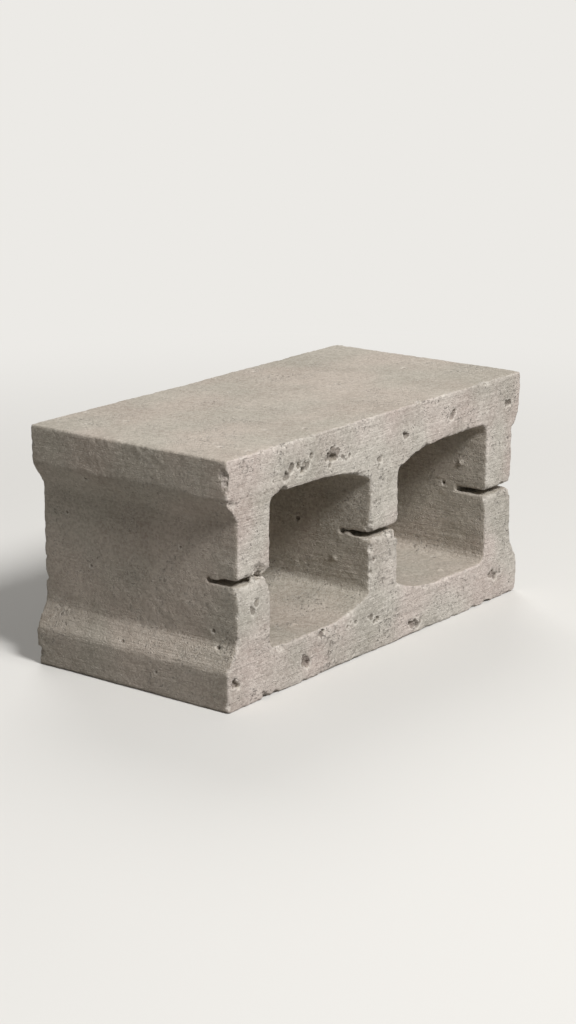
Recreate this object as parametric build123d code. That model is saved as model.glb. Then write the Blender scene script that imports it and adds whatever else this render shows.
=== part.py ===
from build123d import *
import os

# Hollow two-core concrete block, cast in one piece and lying on one face shell,
# with its cores level. X runs along the block's length, Y along its cores and
# Z across the thickness of the wall it is made for. The bed face with the
# slots looks toward -Y. The origin is at the middle of the face shell below.
# All sizes are in millimetres.

# Overall size
block_length = 390.0
block_height = 190.0
block_width = 190.0

# Walls at the slotted bed face, where the cores are widest
face_shell = 36.0
end_web = 38.0
centre_web = 37.0

# Shoulder that thickens each face shell toward the centre web
shoulder_run = 60.0
shoulder_rise = 13.0

# Corner radii of a core, at its end web and at the centre web
end_corner_radius = 8.0
centre_corner_radius = 6.0

# How far each core wall leans inward on its way to the plain bed face
core_draft = 3.5

# Recess down the middle of each end, between two flat ears
ear_width = 30.0
recess_slope = 18.0
recess_depth = 12.0
recess_bend_radius = 9.0

# Slots that the bar of the mould's cores leaves in the three webs
slot_width = 5.0
slot_depth = 30.0

# Rounded lips of each slot: how deep they start, and how far each opens at the face
lip_depth = 3.5
lip_opening = 2.0

# Worn edges: the four long corners, and every rim on the two bed faces
long_corner_radius = 2.0
rim_radius = 1.2


def bed_section(y):
    """Plane across the cores at y, with the block's X and Z as its own axes."""
    return Plane(origin=(0, y, 0), x_dir=(1, 0, 0), z_dir=(0, -1, 0))


def vertices_at(outline, heights, x=None):
    """Corners of an outline at the given heights, and at one x if that is given."""
    same = 0.01
    corners = [v for v in outline.vertices() if any(abs(v.Y - h) < same for h in heights)]
    return [v for v in corners if x is None or abs(v.X - x) < same]


def end_profile():
    """Corners of the right end, from the lower face shell to the upper one."""
    ear_x = block_length / 2
    floor_x = ear_x - recess_depth
    floor_start = ear_width + recess_slope
    return [
        (ear_x, 0),
        (ear_x, ear_width),
        (floor_x, floor_start),
        (floor_x, block_width - floor_start),
        (ear_x, block_width - ear_width),
        (ear_x, block_width),
    ]


def solid_block():
    """The block before its cores and slots are cut."""
    right_end = end_profile()
    left_end = [(-x, z) for x, z in reversed(right_end)]
    outline = make_face(Polyline(*right_end, *left_end, close=True))
    floor_start = ear_width + recess_slope
    bends = [ear_width, floor_start, block_width - floor_start, block_width - ear_width]
    outline = fillet(vertices_at(outline, bends), recess_bend_radius)
    outline = fillet(vertices_at(outline, [0, block_width]), long_corner_radius)
    return extrude(bed_section(block_height / 2) * outline, block_height)


def core_outline(inset):
    """Section of the right core with each wall moved inward by the inset."""
    centre_x = centre_web / 2 + inset
    end_x = block_length / 2 - recess_depth - end_web - inset
    shell_z = face_shell + inset
    shoulder_x = centre_x + shoulder_run
    shoulder_z = shell_z + shoulder_rise
    far_shell_z = block_width - shell_z
    far_shoulder_z = block_width - shoulder_z
    lower = Line((end_x, shell_z), (shoulder_x, shell_z))
    lower_shoulder = TangentArc((shoulder_x, shell_z), (centre_x, shoulder_z), tangent=(-1, 0))
    centre_wall = Line((centre_x, shoulder_z), (centre_x, far_shoulder_z))
    upper = Line((end_x, far_shell_z), (shoulder_x, far_shell_z))
    upper_shoulder = TangentArc(
        (shoulder_x, far_shell_z), (centre_x, far_shoulder_z), tangent=(-1, 0)
    )
    end_wall = Line((end_x, shell_z), (end_x, far_shell_z))
    outline = make_face(
        [lower, lower_shoulder, centre_wall, upper_shoulder, upper, end_wall]
    )
    outline = fillet(vertices_at(outline, [shell_z, far_shell_z], end_x), end_corner_radius)
    centre_heights = [shoulder_z, far_shoulder_z]
    return fillet(vertices_at(outline, centre_heights, centre_x), centre_corner_radius)


def core():
    """The right core, tapering from the slotted bed face to the plain one."""
    slotted = bed_section(-block_height / 2) * core_outline(0)
    plain = bed_section(block_height / 2) * core_outline(core_draft)
    return loft([slotted, plain], ruled=True)


def core_bar():
    """The flat bar that leaves the slots, round at its deep edge and flared at the face."""
    face_y = -block_height / 2
    outside_y = face_y - slot_width
    lip_y = face_y + lip_depth
    deep_edge_y = face_y + slot_depth
    deep_y = deep_edge_y - slot_width / 2
    middle_z = block_width / 2
    lower_z = middle_z - slot_width / 2
    upper_z = middle_z + slot_width / 2
    lower_mouth_z = lower_z - lip_opening
    upper_mouth_z = upper_z + lip_opening
    outside = Polyline(
        (face_y, lower_mouth_z),
        (outside_y, lower_mouth_z),
        (outside_y, upper_mouth_z),
        (face_y, upper_mouth_z),
    )
    upper_lip = TangentArc((lip_y, upper_z), (face_y, upper_mouth_z), tangent=(-1, 0))
    upper = Line((lip_y, upper_z), (deep_y, upper_z))
    deep_edge = ThreePointArc((deep_y, upper_z), (deep_edge_y, middle_z), (deep_y, lower_z))
    lower = Line((deep_y, lower_z), (lip_y, lower_z))
    lower_lip = TangentArc((lip_y, lower_z), (face_y, lower_mouth_z), tangent=(-1, 0))
    outline = make_face([outside, upper_lip, upper, deep_edge, lower, lower_lip])
    return extrude(Plane.YZ * outline, block_length / 2, both=True)


def concrete_block():
    """The whole block: cores cut, rims worn, then the slots."""
    right_core = core()
    block = solid_block() - right_core - mirror(right_core, about=Plane.YZ)
    faces = block.faces().sort_by(Axis.Y)
    block = fillet(faces[0].edges() + faces[-1].edges(), rim_radius)
    return block - core_bar()


os.makedirs("parts", exist_ok=True)
block = concrete_block()
export_step(block, "parts/concrete_block.step")
print("concrete_block", round(block.volume), "mm3", block.bounding_box())
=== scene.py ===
import math
import bmesh
import bpy
import numpy as np
from mathutils import Matrix, Vector, kdtree


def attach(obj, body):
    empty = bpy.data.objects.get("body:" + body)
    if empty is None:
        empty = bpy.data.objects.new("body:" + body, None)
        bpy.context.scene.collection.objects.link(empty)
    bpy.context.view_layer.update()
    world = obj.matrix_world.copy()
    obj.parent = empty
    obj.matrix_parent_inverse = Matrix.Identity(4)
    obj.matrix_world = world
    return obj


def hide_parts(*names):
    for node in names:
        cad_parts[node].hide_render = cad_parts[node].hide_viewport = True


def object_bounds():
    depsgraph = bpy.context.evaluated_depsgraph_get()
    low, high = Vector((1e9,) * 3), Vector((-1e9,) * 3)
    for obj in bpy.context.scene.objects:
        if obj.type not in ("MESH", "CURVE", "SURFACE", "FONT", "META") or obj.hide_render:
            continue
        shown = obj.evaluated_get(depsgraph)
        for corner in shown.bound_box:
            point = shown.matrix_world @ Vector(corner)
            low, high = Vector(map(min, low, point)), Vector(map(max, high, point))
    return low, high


# Hollow concrete block. The cast shape comes from the frame, and this script gives it
# the relief and the finish of pressed concrete. Everything is in metres.

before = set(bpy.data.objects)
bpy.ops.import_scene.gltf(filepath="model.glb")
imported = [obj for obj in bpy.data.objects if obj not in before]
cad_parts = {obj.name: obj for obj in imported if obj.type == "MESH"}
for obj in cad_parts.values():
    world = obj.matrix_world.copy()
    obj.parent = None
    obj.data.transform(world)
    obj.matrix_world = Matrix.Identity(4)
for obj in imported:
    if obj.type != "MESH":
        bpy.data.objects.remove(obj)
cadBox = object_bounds()
mm = 0.001

# The block's relief. A pair is a smallest and a largest value, unless a note says otherwise.
block = {
    "piece": "castBlock",
    "node": "concrete_block",
    "slot": "concrete",
    "voxel": 1.1 * mm,
    "triangles": 194000,
    "seed": 41,
    "burrRagged": (-0.28, 0.22),  # how far the points of a burr go in or out, as shares
    # how far a point stands out of the smoothed skin, at least on an arris and at most on a flat
    "arrisProud": 0.45 * mm,
    "flatProud": 0.08 * mm,
    # rounded arrises: rounds of smoothing, then how much of it they take, as a mean and a spread
    "wearRounds": 10,
    "wearSlotted": (0.50, 0.34),
    "wearElsewhere": (0.32, 0.26),
    "wearTaken": (0.05, 1.25),  # least and most of it
    "wearReach": 9 * mm,  # how deep the slotted face's own wear goes
    # size of the patches of wear, then the strength and size of finer ones, as shares
    "wearPatch": 5 * mm,
    "wearFine": (0.6, 0.4),
    # scallops broken out of the arrises: how many, half length, depth
    "smallChips": (150, (1.5 * mm, 3.6 * mm), (0.4 * mm, 1.1 * mm)),
    "largeChips": (12, (4 * mm, 9 * mm), (0.8 * mm, 1.8 * mm)),
    "chipSizes": (1.3, 2.6),  # shape of their beta draw: most are small
    "chipDepth": (0.5, 1.0),  # share of the depth that goes with its size
    # chance that a point chips, on the slotted face's arrises and on the others
    "chipOdds": (3.0, 0.8),
    "chipReach": 4 * mm,  # how deep the slotted face's own odds go
    # a chip takes one more bite for each such length, with its tilt, shift and share of the first
    "biteLength": 3 * mm,
    "biteTilt": 0.2,
    "biteShift": 0.5,
    "biteShare": (0.45, 0.8),
    # single air voids anywhere: how many, radius, shape of their beta draw, depth for their radius
    "voids": (110, (1.3 * mm, 2.6 * mm)),
    "voidSizes": (1.0, 3.0),
    "voidDepth": (0.5, 0.95),
    # how many lobes a void has, with the shift of the others and their share of the first
    "lobes": (1, 4),
    "lobeShift": 0.6,
    "lobeShare": (0.5, 0.9),
    "ragged": 0.12,  # unevenness of a cut, as a share of its depth
    # height and size of each layer of unevenness, and of the grit in the chips
    "undulation": ((0.22 * mm, 46 * mm), (0.11 * mm, 13 * mm), (0.07 * mm, 4 * mm)),
    "fracture": (0.30 * mm, 4 * mm),
    "maskRounds": 2,
}

# Larger breaks in the arrises of the slotted face, in mm: x, z, half length, depth
breaks = [
    (-194, 176, 6.5, 1.6),
    (-190, 156, 4.5, 1.3),
    (-126, 190, 4.0, 1.0),
    (-20, 84, 3.5, 1.1),
    (128, 0, 5.0, 1.2),
    (-195, 6, 4.0, 1.2),
    (195, 168, 5.0, 1.3),
    (57, 36, 4.0, 1.0),
    # lips of the slots
    (-182, 91, 3.5, 1.0),
    (-145, 90, 7.0, 2.4),
    (-173, 99, 3.0, 0.9),
    (-152, 99, 3.5, 1.1),
    (-19, 99, 4.5, 1.7),
    (4, 91, 3.0, 0.9),
    (18, 91, 5.0, 1.6),
    (145, 91, 3.5, 1.1),
    (168, 99, 3.5, 1.1),
    (183, 91, 4.5, 1.4),
]
# The same on the plain bed face
plainBreaks = [
    (195, 186, 5.0, 1.5),
    (-195, 4, 6.0, 1.7),
    (-60, 190, 4.5, 1.1),
    (110, 190, 3.5, 0.9),
    (40, 0, 6.0, 1.4),
    (-120, 0, 4.0, 1.0),
    (183, 120, 4.0, 1.1),
    (-183, 70, 3.5, 1.0),
    # rims of the cores
    (141, 60, 3.0, 0.9),
    (-141, 130, 3.5, 1.0),
    (60, 39.5, 3.5, 1.0),
    (-100, 150.5, 4.0, 1.1),
    (22, 100, 3.0, 0.9),
]
# The torn arris of the centre web, in mm: one short tear at each height
tears = {"x": -18.5, "half": 2.3, "depth": 0.9, "heights": (54, 59, 65, 69, 75, 80, 86, 104, 110, 131)}

# Crowded voids on the slotted face, where the mix was less pressed, in mm:
# x, z, spread along x, spread along z, how many, radius
openPatches = [
    (-66, 169, 16, 5, 12, 2.8),
    (-104, 168, 17, 5, 9, 2.3),
    (-128, 165, 4, 4, 3, 2.7),
    (26, 167, 13, 3, 5, 2.4),
    (95, 172, 6, 3, 5, 3.0),
    (172, 168, 7, 4, 4, 2.6),
    (-102, 17, 5, 4, 6, 3.3),
    (-52, 31, 26, 2, 7, 2.2),
    (-12, 28, 8, 3, 4, 2.4),
    (40, 9, 9, 3, 6, 3.1),
    (118, 41, 7, 2, 3, 2.2),
    (160, 24, 9, 4, 6, 3.0),
    (-187, 20, 4, 4, 4, 2.8),
    (-166, 73, 5, 5, 4, 2.7),
    (-7, 153, 1.5, 5, 4, 2.1),
]
# The same on the plain bed face, after a sprinkle of small ones over each of its walls
plainPatches = [
    (0, 18, 170, 12, 26, 1.7),
    (0, 172, 170, 11, 26, 1.7),
    (-163, 95, 12, 60, 10, 1.6),
    (163, 95, 12, 60, 10, 1.6),
    (0, 95, 12, 50, 8, 1.6),
    (-130, 20, 16, 5, 9, 2.4),
    (70, 172, 18, 5, 9, 2.4),
    (150, 14, 7, 4, 5, 2.7),
    (-165, 150, 5, 8, 5, 2.4),
    (20, 30, 14, 4, 6, 2.2),
]
# How their voids scatter and vary, as shares of the above, and how near the skin each has to be
patchScatter, patchSizes, patchGap = 0.6, (0.5, 1.25), 2.5 * mm

# Mortar left in the mouths of the slots and crumbs stuck in the cores, in mm:
# x, y, z, half length, half depth, half height
burrs = [
    (-164, -92.2, 93.4, 2.8, 2.5, 2.5),
    (-160.5, -91.4, 95.4, 2.2, 2.4, 2.2),
    (-152, -86.0, 92.8, 4.5, 4.0, 0.9),
    (-181.6, -73.0, 96.3, 1.9, 6.0, 1.5),
    (-12, -92.6, 92.2, 4.5, 2.2, 1.5),
    (9, -91.4, 93.2, 3.0, 2.6, 1.4),
    (-17.0, -72.0, 93.6, 2.0, 4.5, 1.4),
    (158, -84.0, 92.7, 5.0, 3.5, 0.9),
    (-88, -71.0, 36.8, 4.5, 2.0, 1.4),
    (-121, -52.0, 37.0, 1.8, 2.4, 1.2),
    (102, -78.0, 36.7, 2.6, 2.0, 1.3),
    (84, -40.0, 37.2, 2.0, 3.0, 1.4),
    (-19.4, -60.0, 72.0, 1.3, 2.4, 1.8),
    (144.0, -70.0, 118.0, 1.2, 2.0, 2.2),
]


# what a mesh's points, edges or faces hold under a name, one row for each
def readRows(items, name, width=3, kind=np.float32):
    flat = np.empty(len(items) * width, kind)
    items.foreach_get(name, flat)
    return flat.reshape(-1, width)


def writePoints(mesh, points):
    mesh.vertices.foreach_set("co", points.astype(np.float32).ravel())
    mesh.update()


def countTriangles(mesh):
    return sum(len(face.vertices) - 2 for face in mesh.polygons)


def addObject(name, data):
    added = bpy.data.objects.new(name, data)
    bpy.context.scene.collection.objects.link(added)
    return added


# applies the piece's modifiers
def settle(piece):
    graph = bpy.context.evaluated_depsgraph_get()
    finished = bpy.data.meshes.new_from_object(piece.evaluated_get(graph))
    piece.modifiers.clear()
    rough = piece.data
    piece.data = finished
    bpy.data.meshes.remove(rough)


# the value at a share of the way through a pair
def between(pair, share):
    return pair[0] + (pair[1] - pair[0]) * share


# smooth random height at each point, of unit spread, with bumps of about that size
def ripple(points, size, seed, waves=26):
    rng = np.random.default_rng(seed)
    aim = rng.normal(size=(waves, 3))
    aim /= np.linalg.norm(aim, axis=1, keepdims=True)
    pitch = math.pi / size * rng.uniform(0.7, 1.5, waves)
    phase = rng.uniform(0, 2 * math.pi, waves)
    total = np.zeros(len(points))
    for wave in range(waves):
        total += np.cos(points @ (aim[wave] * pitch[wave]) + phase[wave])
    return total * math.sqrt(2 / waves)


# values after that many rounds of drawing each point's halfway to the mean of its neighbours
def eased(values, edges, rounds):
    near, far = edges[:, 0], edges[:, 1]
    count = np.bincount(edges.ravel(), minlength=len(values))[:, None]
    for turn in range(rounds):
        total = np.empty_like(values)
        for column in range(values.shape[1]):
            total[:, column] = np.bincount(near, values[far, column], len(values))
            total[:, column] += np.bincount(far, values[near, column], len(values))
        values = 0.5 * values + 0.5 * total / count
    return values


# the cast solid with its burrs, remade as one closed skin of voxels
def castShape():
    shell = bmesh.new()
    shell.from_mesh(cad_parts[block["node"]].data)
    bmesh.ops.remove_doubles(shell, verts=shell.verts, dist=0.01 * mm)
    rng = np.random.default_rng(block["seed"])
    for x, y, z, long, deep, high in burrs:
        middle = Vector((x, y, z)) * mm
        size = Matrix.Diagonal((long * mm, deep * mm, high * mm, 1))
        place = Matrix.Translation(middle) @ size
        lump = bmesh.ops.create_icosphere(shell, subdivisions=2, radius=1, matrix=place)
        for vertex in lump["verts"]:
            vertex.co += (vertex.co - middle) * float(rng.uniform(*block["burrRagged"]))
    mesh = bpy.data.meshes.new(block["piece"])
    shell.to_mesh(mesh)
    shell.free()
    piece = addObject(block["piece"], mesh)
    skin = piece.modifiers.new("skin", "REMESH")
    skin.mode = "VOXEL"
    skin.voxel_size = block["voxel"]
    settle(piece)
    return piece


def onSlottedFace(points, reach):
    return points[:, 1] < cadBox[0].y + reach


# pushes what faces the aim inside a ball down to the ball's far side, and returns those points
def carve(skin, centre, aim, half, depth, seed):
    points = skin["points"]
    radius = (half * half + depth * depth) / (2 * depth)
    around = skin["tree"].find_range(centre, half * 1.5 + depth)
    near = np.array([index for place, index, gap in around], int)
    near = near[skin["normals"][near] @ aim > 0.05]
    offset = points[near] - (centre + aim * (radius - depth))
    reach = radius + block["ragged"] * depth * ripple(points[near], half * 0.5, seed, waves=8)
    height = offset @ aim
    across = (offset * offset).sum(axis=1) - height * height
    widest = half * 1.4  # for the ragged rim
    inside = (across + height * height < reach * reach) & (across < widest ** 2)
    floor = -np.sqrt(np.maximum(reach * reach - across, 0))
    points[near[inside]] += aim * (floor - height)[inside, None]
    return near[inside]


# rounds the arrises unevenly
def wearArrises(points, soft):
    strength, size = block["wearFine"]
    patch = ripple(points, block["wearPatch"], block["seed"] + 1)
    patch += strength * ripple(points, block["wearPatch"] * size, block["seed"] + 2)
    slotted = onSlottedFace(points, block["wearReach"])
    mean = np.where(slotted, block["wearSlotted"][0], block["wearElsewhere"][0])
    spread = np.where(slotted, block["wearSlotted"][1], block["wearElsewhere"][1])
    share = np.clip(mean + spread * patch, *block["wearTaken"])
    return points + (soft - points) * share[:, None]


# breaks scallops out of the arrises, most of them along the slotted face
def chipArrises(skin, proud, away, broken):
    rng = np.random.default_rng(block["seed"] + 3)
    points = skin["points"]

    def breakAt(index, half, depth):
        for bite in range(1 + int(half / block["biteLength"])):
            aim = away[index] + rng.normal(0, block["biteTilt"], 3)
            aim /= np.linalg.norm(aim)
            shift = rng.normal(0, block["biteShift"] * half, 3) * (bite > 0)
            centre = points[index] + shift - aim * (shift @ aim)
            share = rng.uniform(*block["biteShare"]) if bite else 1
            bitten = carve(skin, centre, aim, half * share, depth * share, int(index) + bite)
            broken[bitten] = 1

    arris = np.flatnonzero(proud > block["arrisProud"])
    odds = np.where(onSlottedFace(points[arris], block["chipReach"]), *block["chipOdds"])
    for count, halves, depths in (block["smallChips"], block["largeChips"]):
        for index in rng.choice(arris, count, p=odds / odds.sum()):
            size = rng.beta(*block["chipSizes"])
            depth = between(depths, size * rng.uniform(*block["chipDepth"]))
            breakAt(index, between(halves, size), depth)
    torn = [(tears["x"], height, tears["half"], tears["depth"]) for height in tears["heights"]]
    for corner, places in ((cadBox[0], breaks + torn), (cadBox[1], plainBreaks)):
        for x, z, half, depth in places:
            spot = Vector((x * mm, corner.y, z * mm))
            breakAt(skin["tree"].find(spot)[1], half * mm, depth * mm)


# opens air voids: single ones on every face, and the crowded ones of the open patches
def openVoids(skin, proud, hollow):
    rng = np.random.default_rng(block["seed"] + 4)
    points, normals = skin["points"], skin["normals"]

    def openAt(index, half):
        for lobe in range(rng.integers(*block["lobes"], endpoint=True)):
            shift = rng.normal(0, block["lobeShift"] * half, 3) * (lobe > 0)
            shift -= normals[index] * (shift @ normals[index])
            reach = half * (rng.uniform(*block["lobeShare"]) if lobe else 1)
            depth = reach * rng.uniform(*block["voidDepth"])
            opened = carve(skin, points[index] + shift, normals[index], reach, depth, int(index) + lobe)
            hollow[opened] = 1

    flat = np.flatnonzero(np.abs(proud) < block["flatProud"])
    count, radii = block["voids"]
    for index in rng.choice(flat, count):
        openAt(index, between(radii, rng.beta(*block["voidSizes"])))
    for corner, patches in ((cadBox[0], openPatches), (cadBox[1], plainPatches)):
        for x, z, spreadX, spreadZ, number, radius in patches:
            for void in range(number):
                across, up = rng.normal(0, patchScatter, 2) * (spreadX, spreadZ)
                spot = Vector(((x + across) * mm, corner.y, (z + up) * mm))
                place, index, gap = skin["tree"].find(spot)
                if gap < patchGap:
                    openAt(index, radius * rng.uniform(*patchSizes) * mm)


# the relief of the whole block, and masks of it for the finish
def shapeBlock(piece):
    mesh = piece.data
    points = readRows(mesh.vertices, "co").astype(float)
    normals = readRows(mesh.vertex_normals, "vector").astype(float)
    edges = readRows(mesh.edges, "vertices", 2, np.int32)
    print("block: skin of", len(points), "points")
    soft = eased(points, edges, block["wearRounds"])
    away = points - soft
    proud = (away * normals).sum(axis=1)
    away /= np.maximum(np.linalg.norm(away, axis=1, keepdims=True), 1e-9)
    skin = {"points": wearArrises(points, soft), "normals": normals}
    skin["tree"] = kdtree.KDTree(len(points))
    for index, point in enumerate(skin["points"]):
        skin["tree"].insert(point, index)
    skin["tree"].balance()
    broken = np.zeros(len(points))
    hollow = np.zeros(len(points))
    chipArrises(skin, proud, away, broken)
    openVoids(skin, proud, hollow)
    print("block: arrises worn and chipped, voids opened")
    height = np.zeros(len(points))
    for layer, (tall, size) in enumerate(block["undulation"]):
        height += tall * ripple(points, size, block["seed"] + 10 + layer)
    tall, size = block["fracture"]
    height += broken * tall * ripple(points, size, block["seed"] + 20)
    writePoints(mesh, skin["points"] + normals * height[:, None])
    masks = {"broken": broken, "hollow": hollow, "arris": np.clip(proud / mm, 0, 1)}
    soft = eased(np.stack(list(masks.values()), axis=1), edges, block["maskRounds"])
    for column, name in enumerate(masks):
        layer = mesh.attributes.new(name, "FLOAT", "POINT")
        layer.data.foreach_set("value", soft[:, column].astype(np.float32))


# fewer triangles where the surface is plain, and no point outside the cast solid's box
def thinOut(piece):
    count = countTriangles(piece.data)
    trim = piece.modifiers.new("trim", "DECIMATE")
    trim.ratio = min(1, block["triangles"] / count)
    settle(piece)
    mesh = piece.data
    points = readRows(mesh.vertices, "co").astype(float)
    writePoints(mesh, np.clip(points, np.array(cadBox[0]), np.array(cadBox[1])))
    mesh.polygons.foreach_set("use_smooth", [True] * len(mesh.polygons))
    print("block:", count, "triangles thinned to", countTriangles(mesh))


def makeBlock():
    piece = castShape()
    shapeBlock(piece)
    thinOut(piece)
    return piece


# Shader helpers

vectorKind, floatKind = "NodeSocketVector", "NodeSocketFloat"


# an empty node group with those sockets: name, kind and start value
def newGroup(name, inputs, outputs):
    tree = bpy.data.node_groups.new(name, "ShaderNodeTree")
    for label, kind, value in inputs:
        socket = tree.interface.new_socket(label, in_out="INPUT", socket_type=kind)
        if value is not None:
            socket.default_value = value
    for label in outputs:
        tree.interface.new_socket(label, in_out="OUTPUT", socket_type=floatKind)
    return tree, tree.nodes.new("NodeGroupInput").outputs, tree.nodes.new("NodeGroupOutput").inputs


def newMaterial(name):
    material = bpy.data.materials.new(name)
    material.use_nodes = True
    tree = material.node_tree
    return material, tree, tree.nodes["Principled BSDF"]


# sets a socket to a value, or links it from another socket
def feed(tree, target, value):
    if isinstance(value, bpy.types.NodeSocket):
        tree.links.new(value, target)
    else:
        target.default_value = value


def addNode(tree, kind, settings=None, **inputs):
    node = tree.nodes.new(kind)
    for name, value in (settings or {}).items():
        setattr(node, name, value)
    for name, value in inputs.items():
        feed(tree, node.inputs[name.replace("_", " ")], value)
    return node


def addMath(tree, kind, operation, values):
    node = addNode(tree, kind, {"operation": operation})
    for socket, value in zip(node.inputs, values):
        feed(tree, socket, value)
    return node.outputs


def calc(tree, operation, *values):
    return addMath(tree, "ShaderNodeMath", operation, values)["Value"]


def vectorCalc(tree, operation, *values):
    return addMath(tree, "ShaderNodeVectorMath", operation, values)


# a soft step of the value from low to high
def step(tree, value, low, high, toLow=0.0, toHigh=1.0):
    ends = {"From_Min": low, "From_Max": high, "To_Min": toLow, "To_Max": toHigh}
    soft = {"interpolation_type": "SMOOTHSTEP"}
    return addNode(tree, "ShaderNodeMapRange", soft, Value=value, **ends).outputs["Result"]


def mix(tree, factor, first, second, blend="MIX"):
    node = addNode(tree, "ShaderNodeMix", {"data_type": "RGBA", "blend_type": blend})
    for socket, value in ((0, factor), (6, first), (7, second)):
        feed(tree, node.inputs[socket], value)
    return node.outputs[2]


def noise(tree, vector, size, detail, roughness=0.5):
    density = calc(tree, "DIVIDE", 1.0, size)
    look = {"Scale": density, "Detail": detail, "Roughness": roughness}
    return addNode(tree, "ShaderNodeTexNoise", Vector=vector, **look).outputs["Fac"]


# Shader groups that the finishes share


# sand and fine stone: one shade for each grain, and the height of the rough skin
def grainGroup():
    tree, given, result = newGroup(
        "pressedGrain",
        [("Vector", vectorKind, None), ("Grain Size", floatKind, 0.002), ("Stone Share", floatKind, 0.4)],
        ["Shade", "Stones", "Height"],
    )
    vector, size = given["Vector"], given["Grain Size"]
    sand = noise(tree, vector, calc(tree, "MULTIPLY", size, 0.6), 4.0, 0.75)
    density = calc(tree, "DIVIDE", 1.0, size)
    cells = addNode(
        tree, "ShaderNodeTexVoronoi", {"feature": "SMOOTH_F1"},
        Vector=vector, Scale=density, Smoothness=0.35,
    ).outputs
    lots = addNode(tree, "ShaderNodeSeparateColor", Color=cells["Color"]).outputs  # three draws a stone
    dome = step(tree, cells["Distance"], 0.1, 0.62, 1.0, 0.0)
    density = calc(tree, "MULTIPLY", density, 2.3)
    grit = addNode(tree, "ShaderNodeTexVoronoi", Vector=vector, Scale=density).outputs["Distance"]
    chosen = step(tree, lots[1], 0.55, 0.8)
    feed(tree, result["Stones"], calc(tree, "MULTIPLY", chosen, dome))
    shade = calc(tree, "MULTIPLY_ADD", lots[0], 0.45, calc(tree, "MULTIPLY", sand, 0.55))
    feed(tree, result["Shade"], step(tree, shade, 0.22, 0.78))
    bumps = calc(tree, "MULTIPLY", calc(tree, "MULTIPLY", dome, lots[2]), given["Stone Share"])
    bumps = calc(tree, "MULTIPLY_ADD", grit, -0.45, bumps)
    feed(tree, result["Height"], calc(tree, "ADD", sand, bumps))
    return tree


# open texture between the grains, crowded in patches: 1 inside a pore, and 1 on its pale rim
def poreGroup():
    tree, given, result = newGroup(
        "openPores",
        [
            ("Vector", vectorKind, None), ("Pore Size", floatKind, 0.0025),
            ("Patch Size", floatKind, 0.03), ("Cover", floatKind, 0.5),
        ],
        ["Mask", "Rim"],
    )
    spots = noise(tree, given["Vector"], given["Pore Size"], 3.0, 0.6)
    patches = noise(tree, given["Vector"], given["Patch Size"], 3.0)
    crowd = step(tree, patches, 0.38, 0.68, -0.07, 0.08)
    level = calc(tree, "MULTIPLY_ADD", given["Cover"], 0.12, calc(tree, "ADD", spots, crowd))
    inside = step(tree, level, 0.68, 0.79)
    feed(tree, result["Mask"], inside)
    feed(tree, result["Rim"], calc(tree, "SUBTRACT", step(tree, level, 0.60, 0.67), inside))
    return tree


# marks that run one way, where the mould or the strike plate slid over the wet mix
def slideGroup():
    tree, given, result = newGroup(
        "slideMarks",
        [("Vector", vectorKind, None), ("Stretch", vectorKind, (1.0, 1.0, 1.0))],
        ["Value"],
    )
    drawn = vectorCalc(tree, "MULTIPLY", given["Vector"], given["Stretch"])["Vector"]
    lines = noise(tree, drawn, 1.0, 5.0, 0.65)
    feed(tree, result["Value"], step(tree, lines, 0.34, 0.68))
    return tree


# soft patches left by curing: one value for light and dark, one for warm and cool
def cloudGroup():
    tree, given, result = newGroup(
        "cureClouds",
        [("Vector", vectorKind, None), ("Size", floatKind, 0.08)],
        ["Shade", "Warmth"],
    )
    apart = vectorCalc(tree, "ADD", given["Vector"], (3.1, 1.7, 2.3))["Vector"]
    shade = noise(tree, given["Vector"], given["Size"], 5.0, 0.62)
    warmth = noise(tree, apart, given["Size"], 2.0)
    feed(tree, result["Shade"], step(tree, shade, 0.32, 0.68))
    feed(tree, result["Warmth"], step(tree, warmth, 0.36, 0.64))
    return tree


# a colour from its usual 0 to 255 numbers
def colour(red, green, blue):
    shares = [level / 255 for level in (red, green, blue)]
    lit = [share / 12.92 if share <= 0.04 else ((share + 0.055) / 1.055) ** 2.4 for share in shares]
    return (*lit, 1.0)


# The three finishes: the struck face with the slots, the faces that slid along the mould,
# and the face that stood on the pallet
finishes = {
    "struckConcrete": {
        "pale": colour(205, 196, 188), "dark": colour(150, 141, 132),
        "warm": colour(194, 174, 166), "cool": colour(172, 170, 157), "patchShade": 0.55,
        "stretch": (16.0, 170.0, 300.0), "markShade": 0.20, "markHeight": 0.45,
        "pores": 0.50, "grainSize": 2.2 * mm, "grainShade": 0.22, "relief": 0.60 * mm,
    },
    "mouldedConcrete": {
        "pale": colour(189, 179, 166), "dark": colour(150, 140, 127),
        "warm": colour(181, 165, 152), "cool": colour(164, 159, 145), "patchShade": 0.40,
        "stretch": (260.0, 13.0, 260.0), "markShade": 0.24, "markHeight": 0.75,
        "pores": 0.42, "grainSize": 1.8 * mm, "grainShade": 0.21, "relief": 0.50 * mm,
    },
    "palletConcrete": {
        "pale": colour(188, 180, 170), "dark": colour(151, 143, 133),
        "warm": colour(180, 167, 157), "cool": colour(165, 161, 150), "patchShade": 0.55,
        "stretch": (90.0, 90.0, 110.0), "markShade": 0.16, "markHeight": 0.35,
        "pores": 0.54, "grainSize": 2.0 * mm, "grainShade": 0.27, "relief": 0.60 * mm,
    },
}

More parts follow.
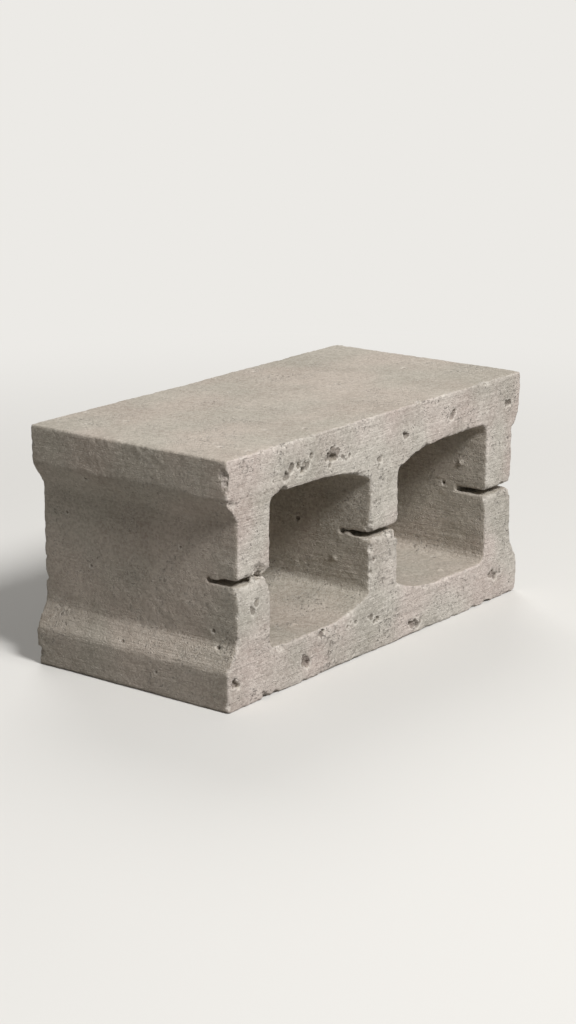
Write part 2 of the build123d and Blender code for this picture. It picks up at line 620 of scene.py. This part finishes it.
# What they share. A number without a unit is the share that an effect takes.
concrete = {
    "grainDark": colour(104, 96, 87), "grainPale": colour(222, 216, 206),
    # painted shade: this colour darkens the skin inside pores and voids, where shade falls
    "voidPaintedShade": colour(118, 109, 100),  # multiplies the skin inside pores and voids
    "cloudSize": 80 * mm, "patchSize": 24 * mm, "tint": 0.48,
    "stoneHeight": 0.7, "stoneShade": 0.16, "arrisShade": 0.30, "brokenShade": 0.32,
    "poreSize": 2.4 * mm, "poreCrowd": 30 * mm, "poreHeight": -1.5,
    # how strongly painted shade darkens the insides of pores and of voids, and how pale their rims are
    "porePaintedShade": 0.28, "poreRim": 0.16, "hollowPaintedShade": 0.54, "hollowRim": 0.38,
    "roughness": (0.78, 0.94), "specular": 0.3,
    # ranges of the curing shade, and of the void mask for its pale rim and for its inside, which painted
    # shade darkens
    "cureRange": (-0.45, 1.0), "rimStart": (0.04, 0.22), "rimEnd": (0.30, 0.60), "insideStart": (0.25, 0.80),
    # where a bed face's finish ends: how far the skin turns away, and how deep it lies
    "bedTurn": 0.35, "bedDepth": 8 * mm,
}


def concreteMaterial(name, groups):
    look = finishes[name] | concrete
    material, tree, shader = newMaterial(name)
    spot = addNode(tree, "ShaderNodeTexCoord").outputs["Object"]

    def shared(group, **inputs):
        chosen = {"node_tree": groups[group]}
        return addNode(tree, "ShaderNodeGroup", chosen, Vector=spot, **inputs).outputs

    def mask(attribute):
        return addNode(tree, "ShaderNodeAttribute", {"attribute_name": attribute}).outputs["Fac"]

    clouds = shared("clouds", Size=look["cloudSize"])
    patches = shared("clouds", Size=look["patchSize"])
    grain = shared("grain", Grain_Size=look["grainSize"], Stone_Share=look["stoneHeight"])
    pores = shared("pores", Pore_Size=look["poreSize"], Patch_Size=look["poreCrowd"], Cover=look["pores"])
    marks = shared("marks", Stretch=look["stretch"])["Value"]
    broken, hollow, arris = mask("broken"), mask("hollow"), mask("arris")

    # the cement skin with its clouds and slide marks, paler where an arris is rubbed
    cured = calc(tree, "MULTIPLY_ADD", patches["Shade"], -look["patchShade"], clouds["Shade"])
    skin = mix(tree, step(tree, cured, *look["cureRange"]), look["dark"], look["pale"])
    skin = mix(tree, look["tint"], skin, mix(tree, clouds["Warmth"], look["cool"], look["warm"]))
    skin = mix(tree, calc(tree, "MULTIPLY", marks, look["markShade"]), skin, look["pale"])
    skin = mix(tree, calc(tree, "MULTIPLY", arris, look["arrisShade"]), skin, look["pale"])
    # sand grains over all of it, stronger in the breaks
    grains = mix(tree, grain["Shade"], look["grainDark"], look["grainPale"])
    bare = calc(tree, "MULTIPLY_ADD", broken, look["brokenShade"], look["grainShade"])
    bare = calc(tree, "MULTIPLY_ADD", grain["Stones"], look["stoneShade"], bare)
    skin = mix(tree, bare, skin, grains)
    # pores and voids, with pale rims and insides darkened by painted shade
    skin = mix(tree, calc(tree, "MULTIPLY", pores["Rim"], look["poreRim"]), skin, look["grainPale"])
    start, end = step(tree, hollow, *look["rimStart"]), step(tree, hollow, *look["rimEnd"])
    brink = calc(tree, "SUBTRACT", start, end)
    skin = mix(tree, calc(tree, "MULTIPLY", brink, look["hollowRim"]), skin, look["grainPale"])
    # painted shade inside pores and voids: the stronger of the two masks multiplies the skin by the void
    # colour
    inside = calc(tree, "MULTIPLY", step(tree, hollow, *look["insideStart"]), look["hollowPaintedShade"])
    deep = calc(tree, "MAXIMUM", calc(tree, "MULTIPLY", pores["Mask"], look["porePaintedShade"]), inside)
    feed(tree, shader.inputs["Base Color"], mix(tree, deep, skin, look["voidPaintedShade"], "MULTIPLY"))

    feed(tree, shader.inputs["Roughness"], step(tree, grain["Shade"], 0.0, 1.0, *look["roughness"]))
    shader.inputs["Specular IOR Level"].default_value = look["specular"]

    height = calc(tree, "MULTIPLY_ADD", marks, look["markHeight"], grain["Height"])
    height = calc(tree, "MULTIPLY_ADD", pores["Mask"], look["poreHeight"], height)
    bump = addNode(tree, "ShaderNodeBump", Height=height, Distance=look["relief"])
    feed(tree, shader.inputs["Normal"], bump.outputs["Normal"])
    return material


# gives each side of the block the finish that its making left on it
def finishBlock(piece):
    groups = {"grain": grainGroup(), "pores": poreGroup(), "marks": slideGroup(), "clouds": cloudGroup()}
    for name in finishes:
        piece.data.materials.append(concreteMaterial(name, groups))
    faces = piece.data.polygons
    facing, along = readRows(faces, "normal")[:, 1], readRows(faces, "center")[:, 1]
    turn, depth = concrete["bedTurn"], concrete["bedDepth"]
    number = list(finishes).index
    finish = np.full(len(faces), number("mouldedConcrete"), np.int32)
    finish[(facing < -turn) & (along < cadBox[0].y + depth)] = number("struckConcrete")
    finish[(facing > turn) & (along > cadBox[1].y - depth)] = number("palletConcrete")
    faces.foreach_set("material_index", finish)
    piece.data.update()


# Angles in degrees: azimuth 0 is out of the slotted face, 90 past the block's right end
studio = {
    "floor": colour(214, 212, 208), "floorHalf": 14.0, "floorRoughness": 0.9, "floorSpecular": 0.2,
    "bounce": colour(150, 148, 145),  # the floor's colour for the light that it sends back
    "ground": colour(236, 234, 230), "groundStart": 0.45, "groundEnd": 1.25,
    "lampDistance": 5.0,
    # azimuth, height, width, watts
    "key": (-10.0, 44.0, 1.5, 302.0),
    "back": (135.0, 42.0, 2.6, 75.0),
    "worldLight": 0.20,
    "cameraAzimuth": -52.5, "cameraHeight": 15.25, "cameraDistance": 1.92,
    "lens": 84.0,
}


def polar(azimuth, height, distance):
    turn, rise = math.radians(azimuth), math.radians(height)
    aim = Vector((math.sin(turn) * math.cos(rise), -math.cos(turn) * math.cos(rise), math.sin(rise)))
    return aim * distance


def addAimed(name, data, place, target):
    added = addObject(name, data)
    added.location = place
    added.rotation_euler = (target - place).to_track_quat("-Z", "Y").to_euler()
    return added


# 1 for rays that come from the camera, straight, by reflection or through glass
def seenRays(tree):
    rays = addNode(tree, "ShaderNodeLightPath").outputs
    seen = calc(tree, "MAXIMUM", rays["Is Camera Ray"], rays["Is Glossy Ray"])
    return calc(tree, "MAXIMUM", seen, rays["Is Transmission Ray"])


# lit floor with its shadow near the block, and an even pale ground farther out
def floorMaterial():
    material, tree, shader = newMaterial("paleFloor")
    seen = seenRays(tree)
    feed(tree, shader.inputs["Base Color"], mix(tree, seen, studio["bounce"], studio["floor"]))
    shader.inputs["Roughness"].default_value = studio["floorRoughness"]
    shader.inputs["Specular IOR Level"].default_value = studio["floorSpecular"]
    ground = addNode(tree, "ShaderNodeEmission", Color=studio["ground"])
    spot = addNode(tree, "ShaderNodeTexCoord").outputs["Object"]
    far = vectorCalc(tree, "LENGTH", spot)["Value"]
    far = step(tree, far, studio["groundStart"], studio["groundEnd"])
    blend = tree.nodes.new("ShaderNodeMixShader")
    shaders = (calc(tree, "MULTIPLY", far, seen), shader.outputs["BSDF"], ground.outputs["Emission"])
    for socket, value in zip(blend.inputs, shaders):
        feed(tree, socket, value)
    feed(tree, tree.nodes["Material Output"].inputs["Surface"], blend.outputs["Shader"])
    return material


def layFloor():
    half = studio["floorHalf"]
    mesh = bpy.data.meshes.new("floor")
    corners = [(-half, -half, 0), (half, -half, 0), (half, half, 0), (-half, half, 0)]
    mesh.from_pydata(corners, [], [(0, 1, 2, 3)])
    mesh.materials.append(floorMaterial())
    addObject("floor", mesh)


def lightWorld():
    world = bpy.data.worlds.new("studio")
    bpy.context.scene.world = world
    world.use_nodes = True
    tree = world.node_tree
    background = tree.nodes["Background"]
    background.inputs["Color"].default_value = studio["ground"]
    strength = step(tree, seenRays(tree), 0.0, 1.0, studio["worldLight"], 1.0)
    feed(tree, background.inputs["Strength"], strength)


def buildStudio():
    layFloor()
    middle = (cadBox[0] + cadBox[1]) / 2
    for name in ("key", "back"):
        azimuth, height, width, watts = studio[name]
        lamp = bpy.data.lights.new(name, "AREA")
        lamp.shape = "DISK"
        lamp.size = width
        lamp.energy = watts
        addAimed(name, lamp, middle + polar(azimuth, height, studio["lampDistance"]), middle)
    lightWorld()
    camera = bpy.data.cameras.new("camera")
    camera.lens = studio["lens"]
    place = middle + polar(studio["cameraAzimuth"], studio["cameraHeight"], studio["cameraDistance"])
    bpy.context.scene.camera = addAimed("camera", camera, place, middle)
    bpy.context.scene.view_settings.view_transform = "Standard"
    print("studio: floor, lamps and camera set")


castBlock = makeBlock()
finishBlock(castBlock)
print("block: finished in", len(finishes), "materials")
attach(castBlock, "root")
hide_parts(block["node"])
buildStudio()
